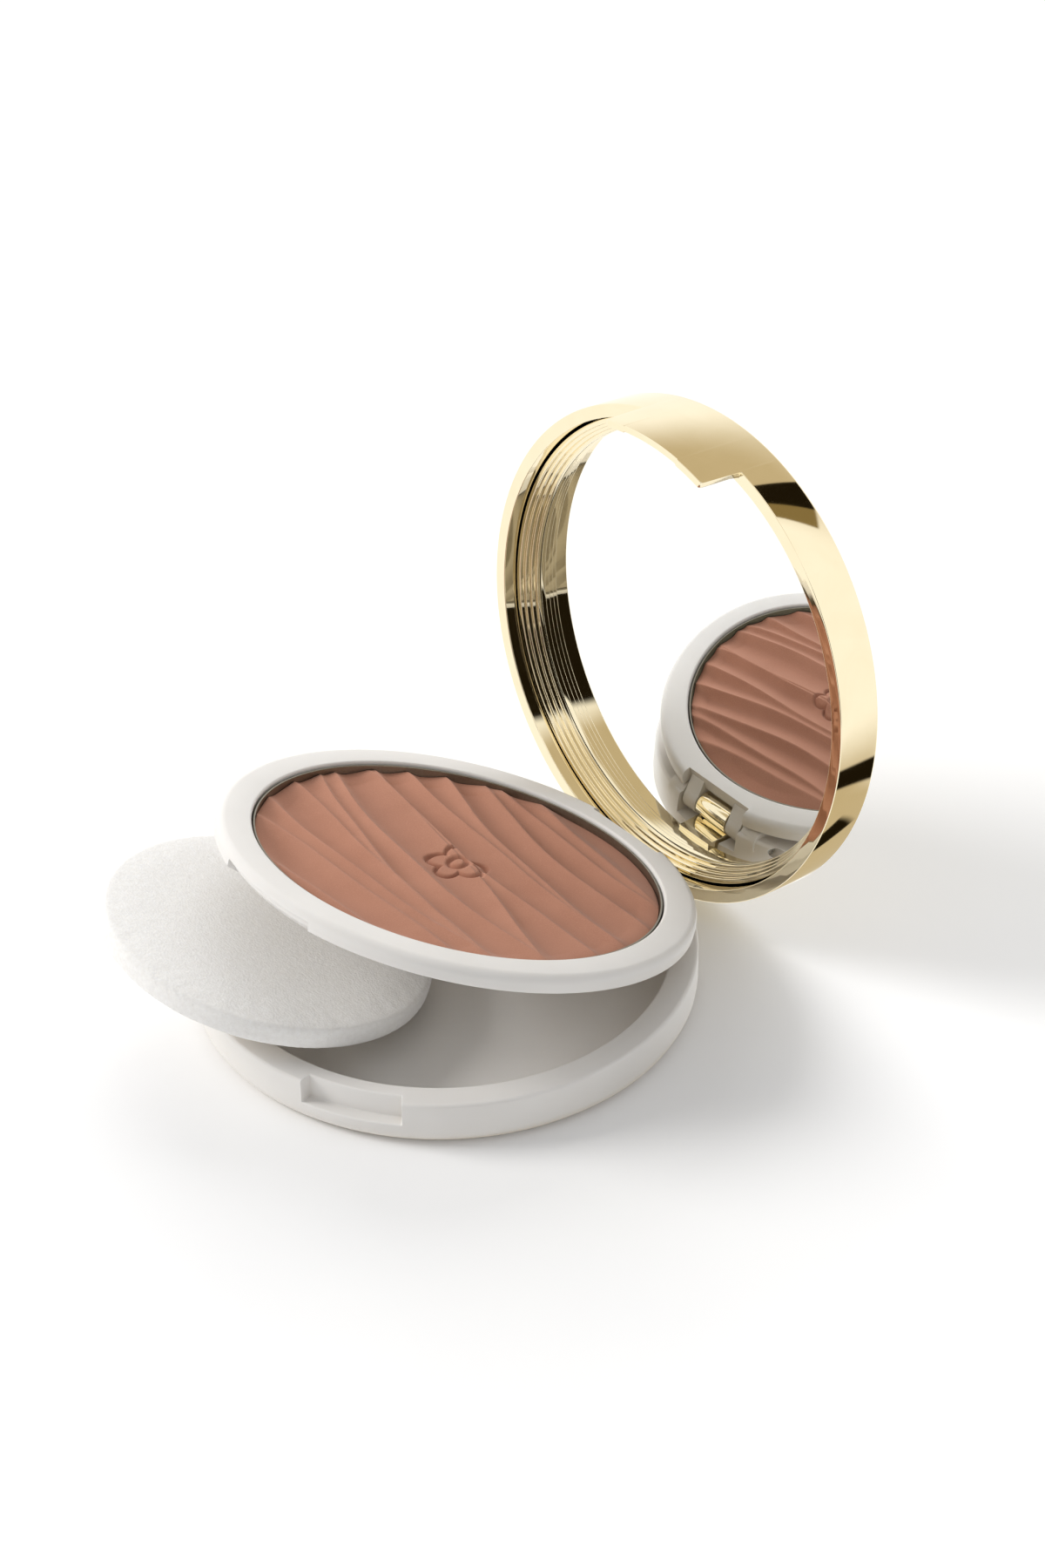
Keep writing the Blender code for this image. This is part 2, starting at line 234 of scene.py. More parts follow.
def gold_plating():
    s = Shader("champagne_plating")
    smear = s.noise(6.0, 4.0, distortion=0.6)
    hairline = s.noise(0.35, 3.0, stretch=(1.0, 0.12, 1.0))
    colour = s.blend(s.spread(smear, 0.0, 1.0), (0.900, 0.805, 0.585), (0.935, 0.840, 0.625))
    # painted highlight: the gold is paler and brighter along convex edges
    colour = s.blend(s.edge_highlight_mask(0.25), colour, (0.97, 0.90, 0.73))
    s.set(Base_Color=colour, Metallic=1.0, Roughness=s.spread(smear, 0.025, 0.055))
    s.set(Normal=s.bump(hairline, 0.0006, 0.5, s.bump(s.noise(14.0, 1.0), 0.05, 0.25)))
    return s.mat


def silvered_mirror():
    s = Shader("silvered_mirror")
    haze = s.noise(11.0, 4.0, distortion=0.8)
    dust = s.spread(s.noise(0.22, 1.0), 0.0, 1.0, 0.74, 0.80)
    colour = s.blend(s.spread(haze, 0.0, 1.0), (0.955, 0.962, 0.962), (0.975, 0.980, 0.980))
    s.set(Base_Color=s.blend(dust, colour, (0.90, 0.90, 0.89)), Metallic=1.0)
    s.set(Roughness=s.spread(haze, 0.0, 0.012))
    askew = s.nodes.new("ShaderNodeVectorMath")
    askew.operation = 'ADD'
    s.links.new(s.nodes.new("ShaderNodeNewGeometry").outputs["Normal"], askew.inputs[0])
    askew.inputs[1].default_value = (math.radians(MIRROR_YAW), 0, 0)
    level = s.nodes.new("ShaderNodeVectorMath")
    level.operation = 'NORMALIZE'
    s.links.new(askew.outputs["Vector"], level.inputs[0])
    return s.set(Normal=level.outputs["Vector"]).mat


def pressed_tin():
    s = Shader("pressed_tin")
    brush = s.noise(0.4, 3.0, stretch=(1.0, 1.0, 6.0))
    colour = s.blend(s.spread(brush, 0.0, 1.0), (0.22, 0.205, 0.170), (0.30, 0.285, 0.245))
    s.set(Base_Color=colour, Metallic=1.0, Roughness=s.spread(brush, 0.28, 0.45))
    s.set(Normal=s.bump(brush, 0.01, 0.5))
    return s.mat


def drawn_steel():
    s = Shader("drawn_steel")
    brush = s.noise(0.25, 2.0, stretch=(0.1, 1.0, 1.0))
    s.set(Base_Color=s.blend(s.spread(brush, 0.0, 1.0), (0.50, 0.50, 0.49), (0.62, 0.62, 0.61)))
    s.set(Metallic=1.0, Roughness=s.spread(brush, 0.2, 0.38), Normal=s.bump(brush, 0.006, 0.6))
    return s.mat


def pressed_powder():
    s = Shader("pressed_powder")
    speck = s.noise(0.16, 3.0)
    cloud = s.noise(7.0, 3.0)
    colour = s.blend(s.spread(cloud, 0.0, 1.0), (0.375, 0.165, 0.101), (0.418, 0.190, 0.119))
    colour = s.blend(s.spread(speck, 0.0, 0.55, 0.45, 0.75), colour, (0.52, 0.27, 0.19))
    # painted shade: the powder is darker in the hollows between folds and in the blossom's pressed lines
    colour = s.blend(s.attribute("hollow"), colour, (0.31, 0.125, 0.075))
    # painted reflection: powder seen by way of two mirror-bright walls is drawn olive instead of its own
    # colour
    colour = s.blend(s.second_reflection(), colour, (0.36, 0.31, 0.22))
    s.set(Base_Color=colour, Roughness=s.spread(speck, 0.72, 0.92))
    s.set(Sheen_Weight=0.12, Sheen_Roughness=0.5)
    s.set(Normal=s.bump(speck, 0.03, 0.55, s.bump(s.noise(0.6, 2.0), 0.03, 0.35)))
    return s.mat


def latex_foam():
    s = Shader("latex_foam")
    pores = s.cells(0.33)
    nap = s.noise(0.7, 4.0)
    colour = s.blend(s.spread(nap, 0.0, 1.0), (0.80, 0.785, 0.762), (0.86, 0.85, 0.832))
    # painted shade: the foam is darker in its pores
    colour = s.blend(s.spread(pores, 0.35, 0.0, 0.0, 0.3), colour, (0.66, 0.64, 0.61))
    s.set(Base_Color=colour, Roughness=s.spread(nap, 0.85, 1.0), Sheen_Weight=0.25, Sheen_Roughness=0.6)
    s.bsdf.inputs["Subsurface Weight"].default_value = 0.15
    s.bsdf.inputs["Subsurface Radius"].default_value = (0.0015, 0.0014, 0.0012)
    s.set(Normal=s.bump(pores, 0.05, 0.7, s.bump(nap, 0.08, 0.4)))
    return s.mat


def hot_melt():
    s = Shader("hot_melt")
    cloud = s.noise(2.0, 3.0)
    s.set(Base_Color=s.blend(s.spread(cloud, 0.0, 1.0), (0.62, 0.56, 0.40), (0.75, 0.70, 0.55)))
    s.set(Roughness=s.spread(cloud, 0.35, 0.55), Normal=s.bump(cloud, 0.05, 0.5))
    return s.mat


def foam_tape():
    s = Shader("foam_tape")
    pores = s.cells(0.4)
    # painted shade: the tape is darker in its pores
    s.set(Base_Color=s.blend(s.spread(pores, 0.0, 1.0), (0.40, 0.40, 0.39), (0.55, 0.55, 0.53)))
    s.set(Roughness=0.85, Normal=s.bump(pores, 0.04, 0.8))
    return s.mat


# ------------------------------------------------------------------ mesh helpers
def smoothstep(t):
    t = min(1.0, max(0.0, t))
    return t * t * (3 - 2 * t)


def gate(angle, arc, soft):
    """1 between the two angles of arc, 0 outside, easing over soft degrees."""
    return smoothstep((angle - arc[0]) / soft + 0.5) * smoothstep((arc[1] - angle) / soft + 0.5)


def angle_steps(arcs=(), soft=0.6, count=240):
    """Angles round a turn, packed closely where an arc begins or ends."""
    steps = {round(-180 + 360 * i / count, 4) for i in range(count)}
    for arc in arcs:
        for edge in arc:
            steps = {a for a in steps if abs(a - edge) > soft}
            for k in range(-4, 5):
                steps.add(round(edge + soft * k / 6, 4))
    return sorted(steps)


def rounded(corners, steps=5):
    """Outline points; each corner (r, z, cut) becomes a true arc that starts `cut` before it."""
    points = []
    for i, (r, z, cut) in enumerate(corners):
        corner = Vector((r, z))
        if cut == 0:
            points.append(corner)
            continue
        before = (Vector(corners[i - 1][:2]) - corner).normalized()
        after = (Vector(corners[(i + 1) % len(corners)][:2]) - corner).normalized()
        weight = math.sqrt(max(0.0, (1 - before.dot(after)) / 2))
        for k in range(steps + 1):
            t = k / steps
            a, b, c = (1 - t) ** 2, 2 * t * (1 - t) * weight, t * t
            start, stop = corner + before * cut, corner + after * cut
            points.append((start * a + corner * b + stop * c) / (a + b + c))
    return points


def new_object(name, verts, faces):
    mesh = bpy.data.meshes.new(name)
    mesh.from_pydata([Vector(v) * MM for v in verts], [], faces)
    mesh.validate()
    obj = bpy.data.objects.new(name, mesh)
    bpy.context.scene.collection.objects.link(obj)
    return obj


def turned(name, corners_at, angles=None, steps=5):
    """Body of revolution whose outline corners may change with the angle.

    An outline that starts on the axis ends on it too; any other outline is a closed ring.
    """
    angles = angles or angle_steps()
    outlines = [rounded(corners_at(a), steps) for a in angles]
    count = len(outlines[0])
    on_axis = outlines[0][0].x < 1e-6
    verts, rings = [], []
    for k in range(count):
        if on_axis and k in (0, count - 1):
            rings.append([len(verts)] * len(angles))
            verts.append((0, 0, outlines[0][k].y))
            continue
        ring = []
        for angle, outline in zip(angles, outlines):
            a = math.radians(angle)
            ring.append(len(verts))
            verts.append((outline[k].x * math.cos(a), outline[k].x * math.sin(a), outline[k].y))
        rings.append(ring)
    pairs = list(zip(rings, rings[1:]))
    if not on_axis:
        pairs.append((rings[-1], rings[0]))
    faces = []
    for low, high in pairs:
        for i in range(len(angles)):
            j = (i + 1) % len(angles)
            loop = [low[i], low[j], high[j], high[i]]
            faces.append(tuple(dict.fromkeys(loop)))
    return new_object(name, verts, faces)


def prism_x(name, outline, x0, x1):
    """Outline in (y, z), anticlockwise seen from +X, drawn along X."""
    n = len(outline)
    verts = [(x0, p[0], p[1]) for p in outline] + [(x1, p[0], p[1]) for p in outline]
    faces = [tuple(reversed(range(n))), tuple(range(n, 2 * n))]
    for i in range(n):
        j = (i + 1) % n
        faces.append((i, j, j + n, i + n))
    return new_object(name, verts, faces)


def rod_x(name, radius, x0, x1, edge=0.15, segments=56):
    """Round bar on the hinge line with softened ends."""
    sections = [(x0, radius - edge), (x0 + edge * 0.3, radius - edge * 0.3), (x0 + edge, radius)]
    sections += [(x1 - edge, radius), (x1 - edge * 0.3, radius - edge * 0.3), (x1, radius - edge)]
    verts = []
    for x, r in sections:
        for i in range(segments):
            a = 2 * math.pi * i / segments
            verts.append((x, HINGE_Y + r * math.cos(a), HINGE_Z + r * math.sin(a)))
    faces = [tuple(reversed(range(segments)))]
    for s in range(len(sections) - 1):
        for i in range(segments):
            j = (i + 1) % segments
            k = s * segments
            faces.append((k + i, k + j, k + j + segments, k + i + segments))
    last = (len(sections) - 1) * segments
    faces.append(tuple(range(last, last + segments)))
    return new_object(name, verts, faces)


def block(name, xs, ys, zs, edge=0.0):
    corners = [(ys[0], zs[0], edge), (ys[1], zs[0], edge), (ys[1], zs[1], edge), (ys[0], zs[1], edge)]
    return prism_x(name, [tuple(p) for p in rounded(corners, 4)], *xs)


def combine(target, tools):
    """Applies ('UNION' | 'DIFFERENCE', object) steps and removes the tools."""
    for operation, tool in tools:
        step = target.modifiers.new("step", 'BOOLEAN')
        step.operation = operation
        step.solver = 'EXACT'
        step.object = tool
    bpy.context.view_layer.update()
    done = bpy.data.meshes.new_from_object(target.evaluated_get(bpy.context.evaluated_depsgraph_get()))
    target.modifiers.clear()
    target.data = done
    for _, tool in tools:
        bpy.data.objects.remove(tool)


def finish_piece(obj, body, material, nodes, sharp=38):
    """Shades the piece, turns it to its rest pose and hangs it on its body."""
    obj.data.materials.clear()
    obj.data.materials.append(material)
    obj.data.transform(REST[body])
    obj.data.shade_smooth()
    obj.data.set_sharp_from_angle(angle=math.radians(sharp))
    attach(obj, body)
    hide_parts(*nodes)
    return obj


# ------------------------------------------------------------------ base
def base_outline(angle):
    w = gate(angle, NOTCH_ARC, 0.5)
    cut = 0.10 + 0.12 * w
    wall = BASE_R - NOTCH_DEPTH * w
    return [
        (0, 0, 0), (BASE_R * 0.5, 0, 0), (BASE_R, 0, BASE_CORNER),
        (BASE_R, NOTCH_Z, cut), (wall, NOTCH_Z + 0.4 * (1 - w), cut),
        (wall, BASE_RIM_Z, 0.55 - 0.25 * w), (BAY_R, BASE_RIM_Z, 0.35),
        (BAY_R, BAY_FLOOR_Z, 0.9), (BAY_R * 0.5, BAY_FLOOR_Z, 0), (0, BAY_FLOOR_Z, 0),
    ]


def build_base(material, steel):
    shell = turned("base_dish", base_outline, angle_steps([NOTCH_ARC], 0.5))
    gap, cut_y = BASE_EAR[0], (BASE_CUT_Y, PAST_WALL_Y)
    tools = [
        ('DIFFERENCE', block("knuckle_bay", (-gap, gap), cut_y, KNUCKLE_BAY_Z, 0.5)),
        ('DIFFERENCE', block("arm_slot", (-ARM_SLOT_HALF, ARM_SLOT_HALF), cut_y, ARM_SLOT_Z, 0.3)),
    ]
    for side in (-1, 1):
        x0, x1 = sorted((side * BASE_EAR[0], side * BASE_EAR[1]))
        tools.append(('UNION', rod_x("ear", KNUCKLE_R, x0, x1)))
    tools.append(('DIFFERENCE', rod_x("bore", BORE_R, *BASE_BORE_X)))
    combine(shell, tools)
    finish_piece(shell, "base", material, ["base_shell"])
    pin = rod_x("hinge_wire", PIN_R, *PIN_X)
    finish_piece(pin, "base", steel, ["hinge_pin"])


# ------------------------------------------------------------------ tray
def tray_outline(angle):
    w = gate(angle, RECESS_ARC, 0.5)
    cut = 0.08 + 0.10 * w
    wall = TRAY_R - RECESS_DEPTH * w
    return [
        (0, PLUG_Z, 0), (PLUG_R, PLUG_Z, 0.25), (PLUG_R, SEAT_Z, 0.1), (SEAT_R, SEAT_Z, 0.15),
        (wall, TRAY_EDGE_Z, 0.2), (wall, RECESS_TOP_Z - 0.4 * (1 - w), cut), (TRAY_R, RECESS_TOP_Z, cut),
        (TRAY_R, TRAY_TOP_Z, 1.25), (WELL_R, TRAY_TOP_Z, 0.4),
        (WELL_R, WELL_FLOOR_Z, 0.3), (0, WELL_FLOOR_Z, 0),
    ]


def build_tray(material):
    ring = turned("tray_ring", tray_outline, angle_steps([RECESS_ARC], 0.5))
    hinge_x, hinge_y = (-HINGE_CUT_HALF, HINGE_CUT_HALF), (HINGE_CUT_Y, PAST_WALL_Y)
    arm_x, arm_y = (-ARM_CUT_HALF, ARM_CUT_HALF), (ARM_CUT_Y, PAST_WALL_Y)
    tools = [
        ('DIFFERENCE', block("hinge_cut", hinge_x, hinge_y, HINGE_CUT_Z, 0.3)),
        ('DIFFERENCE', block("arm_cut", arm_x, arm_y, ARM_CUT_Z, 0.4)),
    ]
    for side in (-1, 1):
        x0, x1 = sorted((side * TRAY_KNUCKLE[0], side * TRAY_KNUCKLE[1]))
        tools.append(('UNION', prism_x("web", TRAY_WEB, x0, x1)))
        tools.append(('UNION', rod_x("knuckle", KNUCKLE_R, x0, x1)))
    tools.append(('DIFFERENCE', rod_x("bore", BORE_R, *TRAY_BORE_X)))
    combine(ring, tools)
    finish_piece(ring, "tray", material, ["tray_frame"])


def build_pan(material):
    inner = PAN_R - PAN_WALL

    def outline(angle):
        return [
            (0, PAN_Z, 0), (PAN_R, PAN_Z, 0.3), (PAN_R, PAN_RIM_Z, 0.12), (inner, PAN_RIM_Z, 0.12),
            (inner, PAN_Z + PAN_WALL, 0.1), (0, PAN_Z + PAN_WALL, 0),
        ]

    pan = turned("pan", outline)
    finish_piece(pan, "tray", material, ["powder_pan"])


# ------------------------------------------------------------------ powder
# Each fold is a crest across the cake: its Y (mm) near the left edge, in the middle and near the right.
FOLDS = (
    (31.0, 24.5, 22.3), (25.5, 21.5, 22.0), (24.5, 16.3, 15.5), (17.8, 10.2, 7.7), (11.6, 8.3, 7.2),
    (6.3, 1.9, 1.6), (5.6, 0.8, -6.8), (-1.8, -7.5, -7.4), (-4.5, -12.2, -14.6), (-9.2, -12.6, -15.2),
    (-16.2, -17.3, -14.4), (-22.0, -20.0, -19.2), (-30.0, -27.5, -26.0),
)
FOLD_DEPTH = 1.4
FOLD_WIDTH = 6.0              # a hollow this wide has the full depth
FOLD_LOW = 0.66               # where between two crests the hollow is deepest
RIM_FADE, RIM_DROP = 3.0, 0.35          # mm over which folds calm towards the rim, and the fall there
CREST_Z = CAKE_TOP_Z + 0.3
MOTIF_R, MOTIF_DEPTH, MOTIF_LINE = 4.5, 0.62, 0.40


def fold_height(x, y):
    """Height below the crests, and how deep in a hollow each point lies (0-1)."""
    t = x / 26.0
    lines = [b + (c - a) * t / 2 + (a + c - 2 * b) * t * t / 2 + 0.25 * np.sin(x * 0.23 + 2.1 * k)
             for k, (a, b, c) in enumerate(FOLDS)]
    lines = np.sort(np.stack(lines + [np.full_like(x, 38.0), np.full_like(x, -38.0)]), axis=0)
    above = (lines > y).argmax(axis=0)
    high = np.take_along_axis(lines, above[None], 0)[0]
    low = np.take_along_axis(lines, above[None] - 1, 0)[0]
    width = np.maximum(high - low, 0.05)
    share = (high - y) / width
    falling = np.sin(np.clip(share / FOLD_LOW, 0, 1) * math.pi / 2)
    rising = np.cos(np.clip((share - FOLD_LOW) / (1 - FOLD_LOW), 0, 1) * math.pi / 2)
    hollow = np.where(share < FOLD_LOW, falling, rising)
    calm = np.clip((x + 8) / 34, 0, 1)
    depth = FOLD_DEPTH * np.minimum(1.0, width / FOLD_WIDTH) ** 1.1 * (1 - 0.42 * calm)
    return -depth * hollow, hollow * np.clip(width / FOLD_WIDTH, 0, 1)


def motif_depth(x, y):
    """A small pressed blossom: five petal outlines round a ring."""
    rho, theta = np.hypot(x, y), np.arctan2(y, x)
    petal = MOTIF_R * (0.62 + 0.38 * np.abs(np.cos(2.5 * theta)))
    outline = np.exp(-((rho - petal) / MOTIF_LINE) ** 2)
    ring = np.exp(-((rho - 0.28 * MOTIF_R) / MOTIF_LINE) ** 2)
    return MOTIF_DEPTH * np.maximum(outline, ring)


def build_powder(material, cells=300):
    """Cake top as an even grid on the disc, closed by a side and a flat bottom."""
    g = np.linspace(-1, 1, cells + 1)
    u, v = np.meshgrid(g, g, indexing="ij")
    # square to disc, rings of squares become circles
    rho = np.maximum(np.abs(u), np.abs(v))
    steep = np.abs(u) > np.abs(v)
    ratio = np.where(steep, v / np.where(u == 0, 1, u), u / np.where(v == 0, 1, v))
    angle = ratio * math.pi / 4
    sign = np.where(steep, np.sign(u), np.sign(v))
    radius = CAKE_R * rho * (0.72 + 0.28 * rho)
    x = np.where(steep, np.cos(angle), np.sin(angle)) * radius * sign
    y = np.where(steep, np.sin(angle), np.cos(angle)) * radius * sign
    height, hollow = fold_height(x, y)
    motif = motif_depth(x, y)
    rim = np.clip((CAKE_R - np.hypot(x, y)) / RIM_FADE, 0, 1)
    z = CREST_Z + height * (0.45 + 0.55 * rim) - motif - RIM_DROP * (1 - rim) ** 2
    n = cells + 1
    verts = np.stack([x, y, z], -1).reshape(-1, 3).tolist()
    index = np.arange(n * n).reshape(n, n)
    quads = np.stack([index[:-1, :-1], index[1:, :-1], index[1:, 1:], index[:-1, 1:]], -1).reshape(-1, 4)
    faces = [tuple(q) for q in quads.tolist()]
    sides = (index[0, :-1], index[:-1, -1], index[-1, :0:-1], index[:0:-1, 0])
    edge = np.concatenate(sides).tolist()
    below = len(verts)
    for k in edge:
        verts.append((verts[k][0], verts[k][1], CAKE_Z))
    count = len(edge)
    for i in range(count):
        j = (i + 1) % count
        faces.append((edge[i], edge[j], below + j, below + i))
    faces.append(tuple(range(below, below + count)))
    cake = new_object("powder", verts, faces)
    bm = bmesh.new()
    bm.from_mesh(cake.data)
    bmesh.ops.recalc_face_normals(bm, faces=bm.faces)
    bm.to_mesh(cake.data)
    bm.free()
    # painted shade, stored per point for the powder's colour: fold hollows and the blossom's grooves get
    # darker
    painted_hollow_shade = cake.data.attributes.new("hollow", 'FLOAT', 'POINT')
    values = np.zeros(len(verts), np.float32)
    values[:n * n] = np.clip(0.25 * hollow + 0.6 * motif / MOTIF_DEPTH, 0, 0.9).ravel()
    painted_hollow_shade.data.foreach_set("value", values)
    finish_piece(cake, "tray", material, ["powder_cake"], sharp=80)


# ------------------------------------------------------------------ lid
LUG_ARCS = ((-101.0, -95.5), (-78.5, -70.5))


def lid_outline(angle):
    w = gate(angle, TONGUE_ARC, 0.5)
    lug = max(gate(angle, arc, 0.5) for arc in LUG_ARCS)
    end = LID_RIM_Z + (TONGUE_END_Z - LID_RIM_Z - 0.15 * lug) * w
    inner = LID_R - TONGUE_WALL - 0.1 * lug * w
    return [
        (0, LID_CEILING_Z, 0), (LID_BORE_R, LID_CEILING_Z, 0.2), (LID_BORE_R, LID_RIM_Z, 0.16),
        (inner - 0.25 * (1 - w), LID_RIM_Z, 0.09), (inner + 0.22 * (1 - w), end, 0.09),
        (LID_R, end, 0.14), (LID_R, LID_TOP_Z, 0.45),
        (LID_R * 0.6, LID_TOP_Z, 0), (0, LID_TOP_Z, 0),
    ]


def build_lid(gold):
    arcs = [TONGUE_ARC] + list(LUG_ARCS)
    shell = turned("lid_cup", lid_outline, angle_steps(arcs, 0.5, 288))
    tools = [
        ('UNION', prism_x("arm", LID_ARM, *LID_KNUCKLE)),
        ('UNION', rod_x("knuckle", KNUCKLE_R, *LID_KNUCKLE)),
        ('DIFFERENCE', rod_x("bore", BORE_R, *LID_BORE_X)),
    ]
    combine(shell, tools)
    finish_piece(shell, "lid", gold, ["lid_shell"])


def bezel_outline(angle):
    """A flat outer ledge, then fine steps down a slope to the glass."""
    face, back = MIRROR_Z - 0.06, LID_CEILING_Z - 0.06
    bore = MIRROR_R + 0.3
    steps = [(LIP_R, face, 0.06)]
    for k in range(BEZEL_STEPS):
        r = LIP_R + (LEDGE_R - LIP_R) * k / BEZEL_STEPS
        outer = LIP_R + (LEDGE_R - LIP_R) * (k + 1) / BEZEL_STEPS
        z = LIP_Z + (BEZEL_Z - LIP_Z) * k / BEZEL_STEPS
        steps += [(r, z, 0.10), (outer, z, 0.08)]
    return [
        (BEZEL_R, BEZEL_Z, 0.12), (BEZEL_R, back, 0.1), (bore, back, 0.1), (bore, face, 0.1),
        *steps, (LEDGE_R, BEZEL_Z, 0.14),
    ]


def build_mirror(gold, glass):
    ring = turned("mirror_ring", bezel_outline, angle_steps(count=288))
    ring.data.flip_normals()
    finish_piece(ring, "lid", gold, ["mirror_bezel"])

    def disc(angle):
        return [
            (0, MIRROR_Z, 0), (MIRROR_R, MIRROR_Z, 0.2),
            (MIRROR_R, MIRROR_BACK_Z, 0.1), (0, MIRROR_BACK_Z, 0),
        ]

    mirror = turned("mirror_plate", disc)
    finish_piece(mirror, "lid", glass, ["mirror_glass"])


# ------------------------------------------------------------------ sponge
SWELL = 20.0                  # the cloth is simulated at twenty times its size
SPONGE_CAP = 0.35             # mm a point may move
CLOTH_FRAMES = 20


def sponge_frame():
    """Centre, turn, radius and thickness of the CAD sponge."""
    points = np.array([v.co for v in frame["nodes"]["sponge"].data.vertices])
    centre = (points.max(0) + points.min(0)) / 2
    _, _, axes = np.linalg.svd(points - points.mean(0), full_matrices=False)
    normal = axes[2] * np.sign(axes[2][2])
    across = np.cross((0.0, 1.0, 0.0), normal)
    across /= np.linalg.norm(across)
    along = np.cross(normal, across)
    turn = Matrix(np.stack([across, along, normal], 1).tolist()).to_4x4()
    local = (points - centre) @ np.stack([across, along, normal], 1)
    middle = (local.max(0) + local.min(0)) / 2
    centre = Vector(centre) + turn.to_3x3() @ Vector(middle)
    return centre, turn, np.ptp(local[:, 0]) / 2 / MM, np.ptp(local[:, 2]) / MM


def swell_cloth(obj):
    """Voxel remesh, a short pressure cloth run, capped, applied."""
    remesh = obj.modifiers.new("remesh", 'REMESH')
    remesh.mode = 'VOXEL'
    remesh.voxel_size = 0.55 * MM * SWELL
    bpy.context.view_layer.update()
    start = bpy.data.meshes.new_from_object(obj.evaluated_get(bpy.context.evaluated_depsgraph_get()))
    obj.modifiers.clear()
    obj.data = start
    before = np.zeros(len(start.vertices) * 3)
    start.vertices.foreach_get("co", before)
    cloth = obj.modifiers.new("cloth", 'CLOTH')
    cloth.settings.quality = 5
    cloth.settings.mass = 0.3
    cloth.settings.tension_stiffness = 25
    cloth.settings.compression_stiffness = 25
    cloth.settings.bending_stiffness = 2.0
    cloth.settings.use_pressure = True
    cloth.settings.uniform_pressure_force = 4.0
    cloth.settings.effector_weights.gravity = 0.0
    cloth.point_cache.frame_start = 1
    cloth.point_cache.frame_end = CLOTH_FRAMES
    for step in range(1, CLOTH_FRAMES + 1):
        bpy.context.scene.frame_set(step)
    swollen = bpy.data.meshes.new_from_object(obj.evaluated_get(bpy.context.evaluated_depsgraph_get()))
    obj.modifiers.clear()
    bpy.context.scene.frame_set(1)
    after = np.zeros_like(before)
    swollen.vertices.foreach_get("co", after)
    move = (after - before).reshape(-1, 3)
    length = np.linalg.norm(move, axis=1, keepdims=True)
    cap = SPONGE_CAP * MM * SWELL
    move *= np.minimum(1.0, cap / np.maximum(length, 1e-9))
    swollen.vertices.foreach_set("co", (before.reshape(-1, 3) + move).ravel())
    obj.data = swollen


def build_sponge(material):
    centre, turn, radius, thick = sponge_frame()
    low, high = -thick / 2 + 0.2, thick / 2 - 0.2
    edge = radius - 0.2

    def outline(angle):
        return [(0, low, 0), (edge, low, 0.8), (edge, high, 0.7), (0, high, 0)]

    sponge = turned("sponge_pad_soft", outline, angle_steps(count=160))
    sponge.data.transform(Matrix.Scale(SWELL, 4))
    swell_cloth(sponge)
    sponge.data.transform(Matrix.Scale(1 / SWELL, 4))
    subdivide = sponge.modifiers.new("smooth", 'SUBSURF')
    subdivide.levels = 1
    subdivide.render_levels = 1
    sponge.data.materials.clear()
    sponge.data.materials.append(material)
    sponge.data.transform(Matrix.Translation(centre) @ turn)
    sponge.data.shade_smooth()
    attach(sponge, "sponge_pad")
    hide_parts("sponge")


# ------------------------------------------------------------------ studio
CAMERA_AZIMUTH, CAMERA_ELEVATION, CAMERA_ROLL = 51.295, 34.788, -0.662
CAMERA_DISTANCE, CAMERA_LENS = 453.3, 71.19
CAMERA_TARGET = (-3.65, 17.68, 25.29)

# Cards and graded zones of the studio, seen only in reflections, painted in this order:
# azimuth, elevation, half width, half height, softness (degrees), colour.  Azimuth 0 is +Y and 90 is +X.
WARM_GREY, OLIVE, BLACK = (0.60, 0.50, 0.33), (0.25, 0.18, 0.07), (0.012, 0.008, 0.003)
CARDS = (
    (0, -66, 70, 24, 4, WARM_GREY),         # table edge below the hinge side
    (47, -41, 18, 12, 12, WARM_GREY),
    (-25, 62, 38, 34, 14, WARM_GREY),       # unlit top of the back wall
    (13.5, 45, 5, 9, 0.7, OLIVE),
    (2.2, 45, 7, 9, 0.5, BLACK),            # flag over the tongue
    (17, -59, 9, 7, 1, BLACK),              # flag under the tongue's end
    (42, -38, 16, 3.6, 0.7, BLACK),         # flag beside the hinge
    (180, 55, 45, 13, 8, WARM_GREY),
    (128, 14, 24, 26, 2, BLACK),            # dark room behind the camera
)
OPEN_STUDIO = (1.12, 1.10, 1.05)        # what reflections see between the cards

# Soft boxes: direction they stand in, angular size (degrees), strength, colour.
SOFT_BOXES = (
    ((-0.58, -0.50, 0.48), 26, 2.0, (1.0, 0.985, 0.965)),
    ((-0.62, 0.52, 0.55), 50, 1.35, (1.0, 1.0, 1.0)),
)
SKY_COLOUR = (0.58, 0.58, 0.58)
FLOOR_HALF = 3.0                        # metres


def build_camera():
    az, el, roll = (math.radians(v) for v in (CAMERA_AZIMUTH, CAMERA_ELEVATION, CAMERA_ROLL))
    back = Vector((math.sin(az) * math.cos(el), -math.cos(az) * math.cos(el), math.sin(el)))
    right = Vector((math.cos(az), math.sin(az), 0))
    up = back.cross(right)
    across = right * math.cos(roll) + up * math.sin(roll)
    upright = up * math.cos(roll) - right * math.sin(roll)
    data = bpy.data.cameras.new("camera")
    data.lens = CAMERA_LENS
    data.sensor_width = 36
    data.clip_start, data.clip_end = 0.01, 20
    camera = bpy.data.objects.new("camera", data)
    bpy.context.scene.collection.objects.link(camera)
    place = Matrix((across, upright, back)).transposed().to_4x4()
    place.translation = (Vector(CAMERA_TARGET) + back * CAMERA_DISTANCE) * MM
    camera.matrix_world = place
    bpy.context.scene.camera = camera


